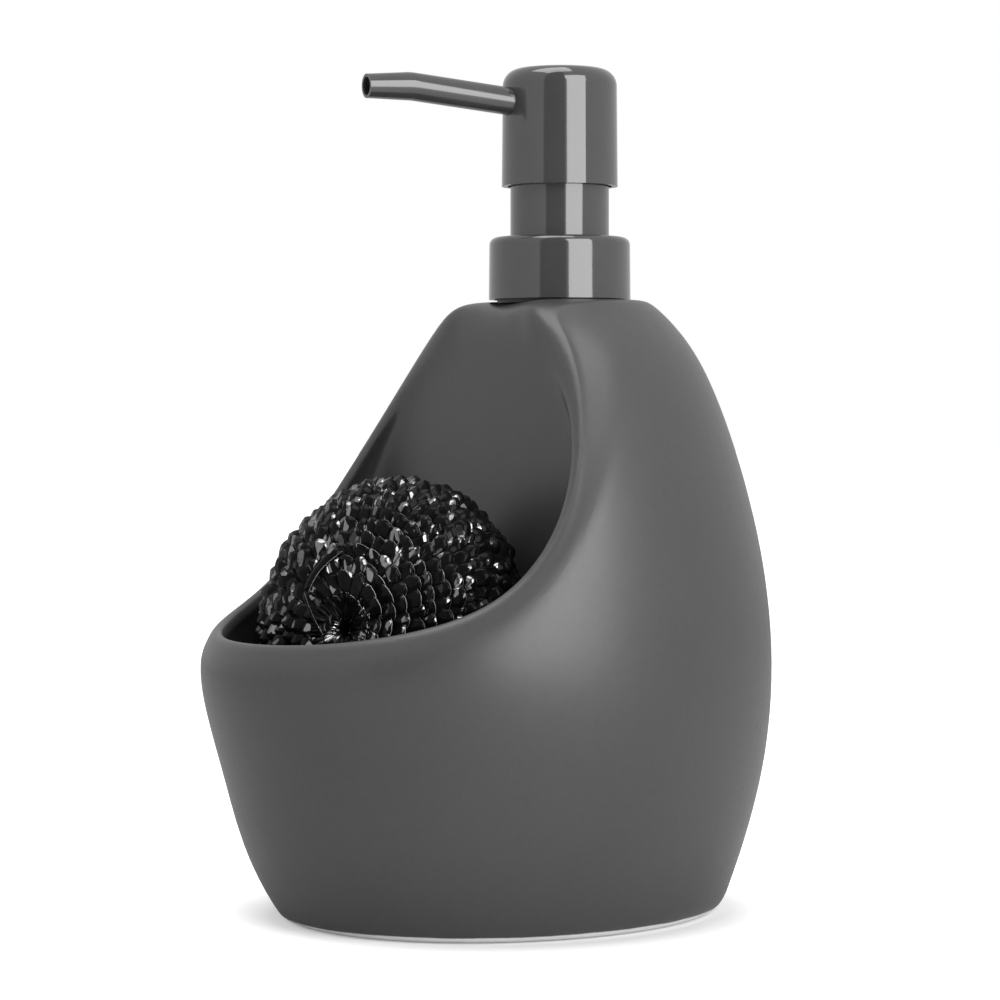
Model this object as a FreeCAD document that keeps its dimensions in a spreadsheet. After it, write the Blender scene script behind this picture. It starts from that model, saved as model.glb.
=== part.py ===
"""Soap pump caddy: a slip-cast ceramic soap bottle with an open pouch in front, its lotion pump,
and the scouring ball that stands in the pouch.

Millimetres, Z up. The origin is the centre of the oval foot, on the surface that the caddy stands
on. The pouch opens towards -Y and the pump stands behind it, on an upright axis at Y = pump_set.
"""
import FreeCAD, Part
import math
import os
import Sketcher
from types import SimpleNamespace
from FreeCAD import Placement, Rotation, Vector

UP = Vector(0, 0, 1)
FULL_TURN = 360

doc = FreeCAD.newDocument("soap_pump_caddy")

# Driving sizes

# Oval sections of the egg-shaped outside: height, half width, half depth, centre along Y
EGG_LEVELS = {
    "sole": (0.0, 44.8, 52.8, 0.0),
    "heel": (15.0, 51.4, 59.6, -1.8),
    "flank": (35.0, 57.0, 65.0, -2.1),
    "belly": (58.0, 60.2, 68.2, -4.1),
    "brim": (80.0, 58.2, 63.6, -2.2),
    "chest": (97.0, 53.8, 56.2, 1.0),
    "breast": (115.0, 44.9, 45.7, 6.3),
    "shoulder": (131.0, 33.6, 33.6, 11.2),
    "crown": (140.4, 22.0, 22.0, 14.4),
}
EGG_WORDS = ("height", "half_width", "half_depth", "centre")

CERAMIC = {
    "pole_set": -20.0,
    "foot_rounding": 3.5,
    "foot_band": 7.0,
    "base_recess": 1.5,
    "front_height": 64.6,
    "lip_thickness": 5.4,
    "lip_rounding": 3.0,
    "panel_top_set": -4.5,
    "panel_floor_set": -6.5,
    "pouch_floor": 30.0,
    "wall_thickness": 5.5,
    "base_thickness": 6.5,
    "pouch_floor_thickness": 6.0,
    "mouth_radius": 12.5,
    "mouth_depth": 9.0,
    "seat_radius": 14.8,
    "seat_depth": 0.6,
}
PUMP_TOP = {
    "pump_set": 15.5,
    "plug_radius": 11.9,
    "plug_length": 11.0,
    "plug_bore": 10.4,
    "plug_rib_height": 0.9,
    "plug_rib_spacing": 3.0,
    "plug_flange_radius": 14.5,
    "plug_flange_height": 1.2,
    "neck_radius": 12.4,
    "neck_rise": 8.8,
    "thread_depth": 1.1,
    "thread_pitch": 4.2,
    "thread_rise": 5.6,
    "thread_start": 1.9,
    "thread_root_width": 1.9,
    "thread_crest_width": 1.0,
    "thread_play": 0.25,
    "thread_overlap": 0.3,
    "gasket_radius": 12.2,
    "gasket_bore": 9.0,
    "gasket_height": 1.2,
    "cap_plate": 1.0,
    "cap_clearance": 0.6,
    "cap_wall": 1.45,
    "collar_taper": 0.15,
    "collar_wall": 1.2,
    "collar_plate": 1.0,
    "collar_rounding": 1.8,
    "sleeve_radius": 11.45,
    "sleeve_wall": 1.25,
    "sleeve_rise": 14.4,
    "sleeve_top_plate": 1.2,
    "sleeve_bead_depth": 0.7,
    "sleeve_bead_height": 0.4,
    "head_gap": 11.8,
    "head_height": 27.6,
    "head_clearance": 0.65,
    "head_wall": 1.35,
    "head_taper": 0.25,
    "head_crown": 1.0,
    "head_rounding": 4.0,
    "head_roof": 3.9,
    "core_height": 10.0,
    "boss_radius": 5.0,
    "boss_length": 8.0,
    "channel_radius": 1.6,
    "spout_heading": -8.7,
    "spout_drop": 9.7,
    "spout_rise_angle": 5.5,
    "spout_tip_angle": -2.0,
    "spout_radius": 3.2,
    "spout_tip_radius": 2.75,
    "spout_bore": 2.25,
    "spout_tip_bore": 2.1,
    "spout_start": 7.5,
    "spout_run": 37.8,
    "spout_reach": 48.5,
    "spout_bend_radius": 14.0,
}
PUMP_INSIDE = {
    "flange_radius": 12.6,
    "flange_height": 1.4,
    "barrel_radius": 7.3,
    "barrel_bore": 6.2,
    "barrel_length": 50.0,
    "valve_chamber_radius": 3.2,
    "valve_chamber_height": 6.0,
    "valve_bore": 1.5,
    "valve_land": 1.5,
    "socket_radius": 4.5,
    "socket_depth": 14.0,
    "barrel_taper": 7.0,
    "dip_radius": 3.0,
    "dip_bore": 2.2,
    "dip_floor_gap": 4.0,
    "inlet_ball_radius": 2.4,
    "cage_height": 1.0,
    "cage_bore": 1.7,
    "chaplet_flange": 2.0,
    "chaplet_plug": 10.0,
    "chaplet_guide": 2.4,
    "chaplet_guide_radius": 6.0,
    "wiper_radius": 4.9,
    "wiper_height": 1.2,
    "stem_radius": 3.9,
    "stem_bore": 2.5,
    "stem_top_drop": 13.5,
    "outlet_drop": 4.4,
    "outlet_bore": 1.2,
    "outlet_land": 1.5,
    "outlet_ball_radius": 1.9,
    "piston_height": 7.6,
    "piston_waist": 5.5,
    "piston_lip": 1.6,
    "piston_bevel": 1.6,
    "rod_disc_radius": 4.4,
    "rod_disc_height": 1.4,
    "rod_length": 8.0,
    "rod_bore": 1.4,
    "wire_radius": 0.45,
    "coil_radius": 5.2,
    "coil_turns": 8.0,
    "running_fit": 0.05,
    "seating_gap": 0.1,
    "loose_gap": 0.3,
    "boss_clearance": 0.5,
}
SCRUBBER = {
    "scrubber_half_width": 32.0,
    "scrubber_half_height": 35.0,
    "scrubber_half_thickness": 21.5,
    "scrubber_centre": -31.2,
    "scrubber_heading": 26.5,
    "scrubber_lift_angle": 6.5,
    "scrubber_lean": 18.0,
    "dimple_radius": 7.0,
    "dimple_depth": 5.0,
}

# Height of the rim of the pouch above its front, as shares, at even bearings from back to front
RIM_SHARES = (1.0, 1.0, 1.0, 0.99, 0.895, 0.625, 0.305, 0.135, 0.07, 0.034, 0.013, 0.003, 0.0)
# Places of the rows of poles up the outside, over the rim and down the inside, as shares
OUTSIDE_SHARES = (0.04, 0.12, 0.24, 0.38, 0.52, 0.66, 0.8, 0.9, 0.96)
# How far the outside leans in towards a round lip at those places, as shares of the lip
LEAN_SHARES = (0.0, 0.0, 0.0, 0.0, 0.0, 0.0, 0.01, 0.04, 0.1)
INSIDE_SHARES = (0.9, 0.78, 0.64, 0.5, 0.36, 0.24)
FLOOR_EDGE_SHARE = 0.6
# Poles over the rim, as shares across it and down from its top: flat round the pump, round at the lip
FLAT_RIM_SHARES = ((0.0, 0.0), (0.08, 0.0), (0.5, 0.0), (0.92, 0.0), (1.0, 1.0))
ROUND_RIM_SHARES = ((0.18, 1.0), (0.36, 0.34), (0.62, 0.0), (0.88, 0.24), (1.0, 0.9))
RIM_EASE_POWER = 6
WIDEST_ROUNDING_SHARE = 1.8
COLUMNS = 64
CORNER_POWER = 10
DEGREE = 3
RESERVOIR_COLUMNS = 24
RESERVOIR_ROWS = 8

# Places in a sketch: the two ends and the centre of a side, the upright axis and the origin
START, END, CENTRE = range(1, 4)
ORIGIN, UPRIGHT_AXIS = range(-1, -3, -1)
NEAR = 1e-6

PLUG_RIBS = 3
RIB_PLACE_SHARE = 0.5
HALF_SHARE = 0.5
DIMPLE_SHARE = 0.9
QUARTERS = 4
QUARTER_TURN = 90


class Size:
    """A length or an angle: the expression that the sheet holds, with its number."""

    def __init__(self, text, value):
        self.text = text
        self.value = value

    def joined(self, other, sign, value):
        text = other.text if isinstance(other, Size) else repr(other)
        return Size(f"({self.text} {sign} {text})", value)

    def __add__(self, other):
        return self.joined(other, "+", self.value + number(other))

    def __sub__(self, other):
        return self.joined(other, "-", self.value - number(other))

    def __mul__(self, other):
        return self.joined(other, "*", self.value * number(other))


def number(size):
    return size.value if isinstance(size, Size) else size


def make_sheet(groups):
    """Write every driving size to the sheet and return the sizes by name."""
    sheet = doc.addObject("Spreadsheet::Sheet", "Sizes")
    sizes = {}
    row = 0
    for group in groups:
        for name, value in group.items():
            row += 1
            sheet.set(f"A{row}", name)
            sheet.set(f"B{row}", repr(value))
            sheet.setAlias(f"B{row}", name)
            sizes[name] = Size(f"Sizes.{name}", value)
    doc.recompute()
    for name, size in sizes.items():
        size.value = float(sheet.get(name))
    return SimpleNamespace(**sizes)


egg_sizes = {f"{level}_{word}": value
             for level, values in EGG_LEVELS.items()
             for word, value in zip(EGG_WORDS, values)}
S = make_sheet((egg_sizes, CERAMIC, PUMP_TOP, PUMP_INSIDE, SCRUBBER))
NOTHING = Size("0", 0.0)

# Heights shared by several pieces
seat = S.crown_height - S.seat_depth
flange_top = seat + S.plug_flange_height
neck_top = flange_top + S.neck_rise
gasket_top = neck_top + S.gasket_height
pump_flange_top = gasket_top + S.flange_height
cap_plate_foot = pump_flange_top + S.seating_gap
cap_plate_top = cap_plate_foot + S.cap_plate
bead_foot = cap_plate_top + S.seating_gap
bead_top = bead_foot + S.sleeve_bead_height
collar_foot = S.crown_height + S.loose_gap
collar_ceiling = bead_top + S.seating_gap
collar_top = collar_ceiling + S.collar_plate
sleeve_top = collar_top + S.sleeve_rise
head_foot = collar_top + S.head_gap
head_top = head_foot + S.head_height
core_top = head_top - S.head_roof - S.seating_gap
core_foot = core_top - S.core_height
boss_foot = core_foot - S.boss_length
spout_height = head_top - S.spout_drop
stem_top = head_top - S.stem_top_drop
chaplet_foot = pump_flange_top - S.chaplet_plug
piston_top = chaplet_foot - S.seating_gap
piston_foot = piston_top - S.piston_height
rod_disc_top = piston_foot - S.seating_gap
stem_foot = piston_foot
barrel_foot = pump_flange_top - S.barrel_length
chamber_foot = barrel_foot - S.valve_chamber_height
valve_foot = chamber_foot - S.valve_chamber_radius + S.valve_bore
socket_top = valve_foot - S.valve_land
socket_foot = socket_top - S.socket_depth
outlet_seat = stem_top - S.outlet_drop
thread_crest_radius = S.neck_radius + S.thread_depth
cap_bore = thread_crest_radius + S.thread_play
stem_hole = S.stem_radius + S.running_fit
sleeve_hole = S.sleeve_radius + S.seating_gap
sleeve_inside = S.sleeve_radius - S.sleeve_wall
head_bore = S.sleeve_radius + S.head_clearance
head_radius = head_bore + S.head_wall
guide_top = pump_flange_top + S.chaplet_flange + S.chaplet_guide


# Building helpers

def put(thing, heading=None):
    """Stand a finished piece on the pump axis, turned to its heading about it."""
    angle = number(heading) if heading else 0
    thing.Placement = Placement(Vector(0, S.pump_set.value, 0), Rotation(UP, angle))
    thing.setExpression("Placement.Base.y", S.pump_set.text)
    if heading:
        thing.setExpression("Placement.Rotation.Angle", heading.text)
    return thing


def plane(body, role):
    return next(feature for feature in body.Origin.OriginFeatures if feature.Role == role)


def drawn(body, name, outline, crown=None):
    """Draw a closed outline of radius and height pairs; the crown side is an arc about the axis."""
    sketch = body.newObject("Sketcher::SketchObject", name)
    sketch.AttachmentSupport = [(plane(body, "XZ_Plane"), "")]
    sketch.MapMode = "FlatFace"
    corners = [Vector(number(radius), number(height), 0) for radius, height in outline]
    for index, corner in enumerate(corners):
        following = corners[(index + 1) % len(corners)]
        sketch.addGeometry(crown_arc(corner, following) if index == crown
                           else Part.LineSegment(corner, following))
    if crown is not None:
        sketch.addConstraint(Sketcher.Constraint("PointOnObject", crown, CENTRE, UPRIGHT_AXIS))
    for index, (radius, height) in enumerate(outline):
        before = (index - 1) % len(corners)
        sketch.addConstraint(Sketcher.Constraint("Coincident", before, END, index, START))
        if number(radius) == 0:
            sketch.addConstraint(Sketcher.Constraint("PointOnObject", index, START, UPRIGHT_AXIS))
        else:
            bind(sketch, "DistanceX", index, radius)
        bind(sketch, "DistanceY", index, height)
    return sketch


def bind(sketch, kind, index, size):
    """Hold the start of one side of an outline at a distance from the sketch's origin."""
    place = sketch.addConstraint(Sketcher.Constraint(kind, ORIGIN, START, index, START, number(size)))
    sketch.setExpression(f"Constraints[{place}]", size.text)


def crown_arc(low, high):
    """The arc from the edge of a crown to its top, centred on the axis of turning."""
    rise = high.y - low.y
    radius = (low.x ** 2 + rise ** 2) / (2 * rise)
    circle = Part.Circle(Vector(0, high.y - radius, 0), UP, radius)
    return Part.ArcOfCircle(circle, circle.parameter(low), circle.parameter(high))


def turned(label, outline, crown=None):
    """A body turned about the upright axis from a closed outline."""
    body = doc.addObject("PartDesign::Body", label)
    body.Label = label
    sketch = drawn(body, f"{label}_outline", outline, crown)
    solid = body.newObject("PartDesign::Revolution", f"{label}_turned")
    solid.Profile = sketch
    solid.ReferenceAxis = (sketch, ["V_Axis"])
    solid.Angle = FULL_TURN
    doc.recompute()
    return body


def rounded(body, radius, rings):
    """Round the circular edges of a body that have the given radius and height."""
    def wanted(edge):
        return any(abs(edge.Curve.Radius - number(ring)) < NEAR
                   and abs(edge.Curve.Center.z - number(height)) < NEAR
                   for ring, height in rings)

    sharp = body.Tip
    edges = [f"Edge{place}" for place, edge in enumerate(sharp.Shape.Edges, 1)
             if not edge.Degenerated and isinstance(edge.Curve, Part.Circle) and wanted(edge)]
    fillet = body.newObject("PartDesign::Fillet", f"{body.Label}_rounding")
    fillet.Base = (sharp, edges)
    fillet.setExpression("Radius", radius.text)
    doc.recompute()
    return body


def threaded(body, outline, rise):
    """Wind a right-handed ridge with the given outline round a body."""
    sketch = drawn(body, f"{body.Label}_ridge", outline)
    ridge = body.newObject("PartDesign::AdditiveHelix", f"{body.Label}_thread")
    ridge.Profile = sketch
    ridge.ReferenceAxis = (sketch, ["V_Axis"])
    ridge.Mode = "pitch-height-angle"
    ridge.setExpression("Pitch", S.thread_pitch.text)
    ridge.setExpression("Height", rise.text)
    doc.recompute()
    return body


def solid_feature(label, shape):
    feature = doc.addObject("Part::Feature", label)
    feature.Label = label
    feature.Shape = shape
    return feature


def cylinder(label, radius, height, foot):
    """An upright cylinder on the local axis."""
    thing = doc.addObject("Part::Cylinder", label)
    thing.setExpression("Radius", radius.text)
    thing.setExpression("Height", height.text)
    thing.setExpression("Placement.Base.z", foot.text)
    return thing


def ball(label, radius, height):
    thing = doc.addObject("Part::Sphere", label)
    thing.Label = label
    thing.setExpression("Radius", radius.text)
    put(thing)
    thing.setExpression("Placement.Base.z", height.text)
    return thing


def cut(label, base, tools):
    """One piece with one or more tools cut out of it."""
    tool = tools[0]
    if len(tools) > 1:
        tool = doc.addObject("Part::MultiFuse", f"{label}_tools")
        tool.Shapes = tools
    thing = doc.addObject("Part::Cut", label)
    thing.Label = label
    thing.Base = base
    thing.Tool = tool
    doc.recompute()
    return thing


# The ceramic body

egg = Part.BSplineCurve()
egg_levels = [[getattr(S, f"{level}_{word}").value for word in EGG_WORDS] for level in EGG_LEVELS]
egg.interpolate(Points=[Vector(*level[1:]) for level in egg_levels],
                Parameters=[level[0] for level in egg_levels])


def egg_reach(bearing, height):
    """Distance from the pole axis to the egg's outside, at a bearing from the back and a height."""
    half_width, half_depth, centre = egg.value(height)
    across = math.sin(bearing) / half_width
    along = math.cos(bearing) / half_depth
    start = (S.pole_set.value - centre) / half_depth
    square = across ** 2 + along ** 2
    reach = along * start
    return (math.sqrt(max(reach ** 2 - square * (start ** 2 - 1), 0)) - reach) / square


def rim_share(bearing):
    """Height of the rim above its front, as a share, eased between the shares at even bearings."""
    place = bearing / math.pi * (len(RIM_SHARES) - 1)
    first = int(place)
    rest = place - first
    weights = ((1 - rest) ** 3, 3 * rest ** 3 - 6 * rest ** 2 + 4,
               -3 * rest ** 3 + 3 * rest ** 2 + 3 * rest + 1, rest ** 3)
    last = len(RIM_SHARES) - 1
    near = [abs(first + step) for step in (-1, 0, 1, 2)]
    shares = [RIM_SHARES[min(index, 2 * last - index)] for index in near]
    return sum(weight * share for weight, share in zip(weights, shares)) / sum(weights)


def inner_reach(bearing, height):
    """Distance from the pole axis to the inside of the pouch: its side wall or the rear panel."""
    side = egg_reach(bearing, height) - S.lip_thickness.value
    share = (height - S.pouch_floor.value) / (S.crown_height.value - S.pouch_floor.value)
    panel = S.panel_floor_set.value + (S.panel_top_set.value - S.panel_floor_set.value) * share
    rear = max(math.cos(bearing), 0) / (panel - S.pole_set.value)
    return (side ** -CORNER_POWER + rear ** CORNER_POWER) ** (-1 / CORNER_POWER)


def ceramic_column(bearing):
    """Poles of one upright slice: foot, outside, rim, inside and floor, as reach and height."""
    floor = S.pouch_floor.value
    front = S.front_height.value
    share = rim_share(bearing)
    rim = front + (S.crown_height.value - front) * share
    sole = egg_reach(bearing, 0)
    poles = [(sole - S.foot_rounding.value, 0), (sole, 0)]
    outer = egg_reach(bearing, rim)
    inner = inner_reach(bearing, rim)
    ease = 1 - share ** RIM_EASE_POWER
    rounding = S.lip_rounding.value * min((outer - inner) / S.lip_thickness.value, WIDEST_ROUNDING_SHARE)
    for part, lean in zip(OUTSIDE_SHARES, LEAN_SHARES):
        height = (rim - rounding * ease) * part
        poles.append((egg_reach(bearing, height) - S.lip_thickness.value * lean * ease, height))
    for flat, round_lip in zip(FLAT_RIM_SHARES, ROUND_RIM_SHARES):
        across = flat[0] + (round_lip[0] - flat[0]) * ease
        down = flat[1] + (round_lip[1] - flat[1]) * ease
        poles.append((outer + (inner - outer) * across, rim - rounding * down))
    for part in INSIDE_SHARES:
        height = floor + (rim - floor) * part
        poles.append((inner_reach(bearing, height), height))
    wall = inner_reach(bearing, floor)
    poles += [(wall, floor), (wall * FLOOR_EDGE_SHARE, floor)]
    return poles


def closed_skin(columns):
    """A solid under one smooth skin that runs round all columns of poles, with flat ends."""
    count = len(columns)
    rows = len(columns[0])
    ends = [DEGREE + 1] + [1] * (rows - DEGREE - 1) + [DEGREE + 1]
    skin = Part.BSplineSurface()
    skin.buildFromPolesMultsKnots(columns, [1] * (count + 1), ends, list(range(count + 1)),
                                  list(range(len(ends))), True, False, DEGREE, DEGREE)
    faces = [skin.toShape()]
    faces += [Part.Face(Part.Wire(skin.vIso(place).toShape())) for place in (0, len(ends) - 1)]
    shell = Part.makeShell(faces)
    shell.sewShape()
    solid = Part.makeSolid(shell)
    if solid.Volume < 0:
        solid.reverse()
    return solid


def ceramic_outside():
    """The outside and the pouch, closed by the base and the pouch floor."""
    columns = []
    for index in range(COLUMNS):
        turn = 2 * math.pi * index / COLUMNS
        bearing = min(turn, 2 * math.pi - turn)
        columns.append([Vector(reach * math.sin(turn), S.pole_set.value + reach * math.cos(turn), height)
                        for reach, height in ceramic_column(bearing)])
    return closed_skin(columns)


def reservoir():
    """The soap space: the tower behind the rear panel and the chamber under the pouch."""
    foot = S.base_thickness.value
    top = S.crown_height.value - S.mouth_depth.value
    wall = S.wall_thickness.value
    columns = []
    for index in range(RESERVOIR_COLUMNS):
        turn = 2 * math.pi * index / RESERVOIR_COLUMNS
        column = []
        for step in range(RESERVOIR_ROWS):
            height = foot + (top - foot) * step / (RESERVOIR_ROWS - 1)
            half_width, half_depth, centre = egg.value(height)
            column.append(Vector((half_width - wall) * math.sin(turn),
                                 centre + (half_depth - wall) * math.cos(turn), height))
        columns.append(column)
    inside = closed_skin(columns)
    span = 2 * S.belly_half_depth.value
    front = S.panel_top_set.value + wall
    tower = Part.makeBox(span, span, span, Vector(-span / 2, front, 0))
    roof = S.pouch_floor.value - S.pouch_floor_thickness.value
    chamber = Part.makeBox(span, span, roof, Vector(-span / 2, front - span, 0))
    return inside.common(tower.fuse(chamber).removeSplitter())


def ceramic_blank():
    """The outside with the soap space left hollow in it."""
    hollow = reservoir().Shells[0].reversed()
    return Part.makeSolid(Part.makeCompound(ceramic_outside().Shells + [hollow]))


def base_hollow():
    """The shallow recess under the base that leaves a foot ring."""
    half_width, half_depth, centre = egg.value(0)
    inset = S.foot_band.value
    squash = FreeCAD.Matrix()
    squash.A11 = half_width - inset
    squash.A22 = half_depth - inset
    squash.A24 = centre
    ring = Part.Circle(Vector(), UP, 1).toShape().transformGeometry(squash)
    return Part.Face(Part.Wire(ring)).extrude(UP * S.base_recess.value)


mouth_length = S.mouth_depth + S.wall_thickness
mouth = cylinder("mouth", S.mouth_radius, mouth_length, S.crown_height - mouth_length)
mouth_seat = cylinder("mouth_seat", S.seat_radius, S.mouth_depth, seat)
for tool in (mouth, mouth_seat):
    tool.setExpression("Placement.Base.y", S.pump_set.text)
ceramic_body = cut("ceramic_body", solid_feature("ceramic_blank", ceramic_blank()),
                   [solid_feature("base_hollow", base_hollow()), mouth, mouth_seat])
pieces = [ceramic_body]


# The plug in the ceramic mouth, with its threaded neck

def ribbed_side(radius, rib_radius, top):
    """The side of the plug from its top down: ribs with plain lengths between them."""
    side = []
    for index in range(PLUG_RIBS):
        rib_top = top - S.plug_rib_spacing * (index + RIB_PLACE_SHARE)
        rib_foot = rib_top - S.plug_rib_height
        side += [(radius, rib_top), (rib_radius, rib_top), (rib_radius, rib_foot), (radius, rib_foot)]
    return side


def ridge_outline(root, crest, middle):
    """The outline of a thread ridge between its root and crest radii, about a middle height."""
    root_half = S.thread_root_width * HALF_SHARE
    crest_half = S.thread_crest_width * HALF_SHARE
    return [(root, middle - root_half), (crest, middle - crest_half),
            (crest, middle + crest_half), (root, middle + root_half)]


plug_foot = seat - S.plug_length
neck_plug = turned("neck_plug", [
    (S.plug_bore, neck_top), (S.neck_radius, neck_top), (S.neck_radius, flange_top),
    (S.plug_flange_radius, flange_top), (S.plug_flange_radius, seat), (S.plug_radius, seat),
    *ribbed_side(S.plug_radius, S.mouth_radius - S.running_fit, seat),
    (S.plug_radius, plug_foot), (S.plug_bore, plug_foot)])
male_middle = flange_top + S.thread_start
threaded(neck_plug, ridge_outline(S.neck_radius - S.thread_overlap, thread_crest_radius, male_middle),
         S.thread_rise)
pieces.append(put(neck_plug))

neck_gasket = turned("neck_gasket", [
    (S.gasket_bore, neck_top), (S.gasket_radius, neck_top),
    (S.gasket_radius, gasket_top), (S.gasket_bore, gasket_top)])
pieces.append(put(neck_gasket))

# The closure: threaded cap and smooth collar

cap_foot = flange_top + S.cap_clearance
cap_radius = cap_bore + S.cap_wall
collar_inside = cap_radius + S.running_fit
collar_radius = collar_inside + S.collar_wall
collar_top_radius = collar_radius - S.collar_taper
closure_cap = turned("closure_cap", [
    (cap_bore, cap_foot), (cap_radius, cap_foot), (cap_radius, cap_plate_top),
    (sleeve_hole, cap_plate_top), (sleeve_hole, cap_plate_foot), (cap_bore, cap_plate_foot)])
threaded(closure_cap, ridge_outline(cap_bore + S.thread_overlap, cap_bore - S.thread_depth,
                                    male_middle + S.thread_pitch * HALF_SHARE), S.thread_pitch)
pieces.append(put(closure_cap))

collar_shell = turned("collar_shell", [
    (collar_inside, collar_foot), (collar_radius, collar_foot), (collar_top_radius, collar_top),
    (sleeve_hole, collar_top), (sleeve_hole, collar_ceiling), (collar_inside, collar_ceiling)])
rounded(collar_shell, S.collar_rounding, [(collar_top_radius, collar_top)])
pieces.append(put(collar_shell))

# The pump: barrel, chaplet, sleeve, dip tube and inlet valve

barrel_shoulder = barrel_foot - S.barrel_taper
pump_housing = turned("pump_housing", [
    (S.barrel_bore, pump_flange_top), (S.flange_radius, pump_flange_top), (S.flange_radius, gasket_top),
    (S.barrel_radius, gasket_top), (S.barrel_radius, barrel_foot), (S.socket_radius, barrel_shoulder),
    (S.socket_radius, socket_foot), (S.dip_radius + S.running_fit, socket_foot),
    (S.dip_radius + S.running_fit, socket_top), (S.valve_bore, socket_top), (S.valve_bore, valve_foot),
    (S.valve_chamber_radius, chamber_foot), (S.valve_chamber_radius, barrel_foot),
    (S.barrel_bore, barrel_foot)])
pieces.append(put(pump_housing))

chaplet_flange_top = pump_flange_top + S.chaplet_flange
chaplet_radius = sleeve_inside - S.seating_gap
wiper_foot = guide_top - S.wiper_height
wiper_pocket = S.wiper_radius + S.running_fit
chaplet = turned("chaplet", [
    (stem_hole, chaplet_foot), (S.barrel_bore - S.running_fit, chaplet_foot),
    (S.barrel_bore - S.running_fit, pump_flange_top), (chaplet_radius, pump_flange_top),
    (chaplet_radius, chaplet_flange_top), (S.chaplet_guide_radius, chaplet_flange_top),
    (S.chaplet_guide_radius, guide_top), (wiper_pocket, guide_top), (wiper_pocket, wiper_foot),
    (stem_hole, wiper_foot)])
pieces.append(put(chaplet))

stem_wiper = turned("stem_wiper", [
    (stem_hole, wiper_foot), (S.wiper_radius, wiper_foot), (S.wiper_radius, guide_top),
    (stem_hole, guide_top)])
pieces.append(put(stem_wiper))

sleeve_ceiling = sleeve_top - S.sleeve_top_plate
bead_radius = S.sleeve_radius + S.sleeve_bead_depth
boss_hole = S.boss_radius + S.boss_clearance
guide_sleeve = turned("guide_sleeve", [
    (sleeve_inside, pump_flange_top), (S.sleeve_radius, pump_flange_top), (S.sleeve_radius, bead_foot),
    (bead_radius, bead_foot), (bead_radius, bead_top), (S.sleeve_radius, bead_top),
    (S.sleeve_radius, sleeve_top), (boss_hole, sleeve_top), (boss_hole, sleeve_ceiling),
    (sleeve_inside, sleeve_ceiling)])
pieces.append(put(guide_sleeve))

dip_foot = S.base_thickness + S.dip_floor_gap
dip_tube = turned("dip_tube", [
    (S.dip_bore, dip_foot), (S.dip_radius, dip_foot), (S.dip_radius, socket_top),
    (S.dip_bore, socket_top)])
pieces.append(put(dip_tube))

cage_foot = barrel_foot - S.cage_height
cage_radius = S.valve_chamber_radius - S.running_fit
ball_cage = turned("ball_cage", [
    (S.cage_bore, cage_foot), (cage_radius, cage_foot), (cage_radius, barrel_foot),
    (S.cage_bore, barrel_foot)])
pieces.append(put(ball_cage))

# A ball on a cone of 45 degrees has its centre this many radii above the cone's point
BALL_RISE_SHARE = math.sqrt(2)
inlet_ball = ball("inlet_ball", S.inlet_ball_radius,
                  valve_foot - S.valve_bore + S.inlet_ball_radius * BALL_RISE_SHARE + S.running_fit)
pieces.append(inlet_ball)


# The return spring

def arc_between(start, direction, end):
    """The arc from a point along a direction to another point."""
    chord = end - start
    normal = direction.cross(chord).normalize()
    inward = normal.cross(direction)
    radius = chord.dot(chord) / (2 * chord.dot(inward))
    centre = start + inward * radius
    middle = (start + end) * HALF_SHARE - centre
    return Part.Arc(start, centre + middle.normalize() * radius, end).toShape()


def biarc(start, first_way, end, last_way):
    """Two arcs from one point and direction to another, joined without a kink."""
    chord = end - start
    ways = first_way + last_way
    spread = 2 * (1 - first_way.dot(last_way))
    lean = chord.dot(ways)
    length = (math.sqrt(lean ** 2 + spread * chord.dot(chord)) - lean) / spread
    joint = (start + end + (first_way - last_way) * length) * HALF_SHARE
    joint_way = (end - start - ways * length).normalize()
    return [arc_between(start, first_way, joint), arc_between(joint, joint_way, end)]


def spring():
    """An open coil as one unbroken wire, from the barrel's ledge to the piston."""
    radius = S.coil_radius.value
    wire = S.wire_radius.value
    foot = barrel_foot.value + S.seating_gap.value + wire
    top = piston_foot.value - S.seating_gap.value - wire
    quarters = round(S.coil_turns.value * QUARTERS)
    rise = (top - foot) / quarters

    def place(index):
        angle = 2 * math.pi * index / QUARTERS
        return Vector(radius * math.cos(angle), radius * math.sin(angle), foot + rise * index)

    def way(index):
        angle = 2 * math.pi * index / QUARTERS
        climb = rise * QUARTERS / (2 * math.pi)
        return Vector(-radius * math.sin(angle), radius * math.cos(angle), climb).normalize()

    edges = []
    for index in range(quarters):
        edges += biarc(place(index), way(index), place(index + 1), way(index + 1))
    ring = Part.Wire(Part.Circle(place(0), way(0), wire).toShape())
    print("return_spring: least gap between turns", round(rise * QUARTERS - 2 * wire, 2), "mm")
    return Part.Wire(edges).makePipeShell([ring], True, False)


return_spring = solid_feature("return_spring", spring())
pieces.append(put(return_spring))

# The piston, the stem and the outlet valve

piston_radius = S.barrel_bore - S.running_fit
lower_lip = piston_foot + S.piston_lip
upper_lip = piston_top - S.piston_lip
piston_seal = turned("piston_seal", [
    (stem_hole, piston_foot), (piston_radius, piston_foot), (piston_radius, lower_lip),
    (S.piston_waist, lower_lip + S.piston_bevel), (S.piston_waist, upper_lip - S.piston_bevel),
    (piston_radius, upper_lip), (piston_radius, piston_top), (stem_hole, piston_top)])
pieces.append(put(piston_seal))

rod_foot = rod_disc_top - S.rod_disc_height
rod_top = rod_disc_top + S.rod_length
shank_radius = S.stem_bore - S.running_fit
valve_rod = turned("valve_rod", [
    (S.rod_bore, rod_foot), (S.rod_disc_radius, rod_foot), (S.rod_disc_radius, rod_disc_top),
    (shank_radius, rod_disc_top), (shank_radius, rod_top), (S.rod_bore, rod_top)])
pieces.append(put(valve_rod, S.spout_heading))

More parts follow.
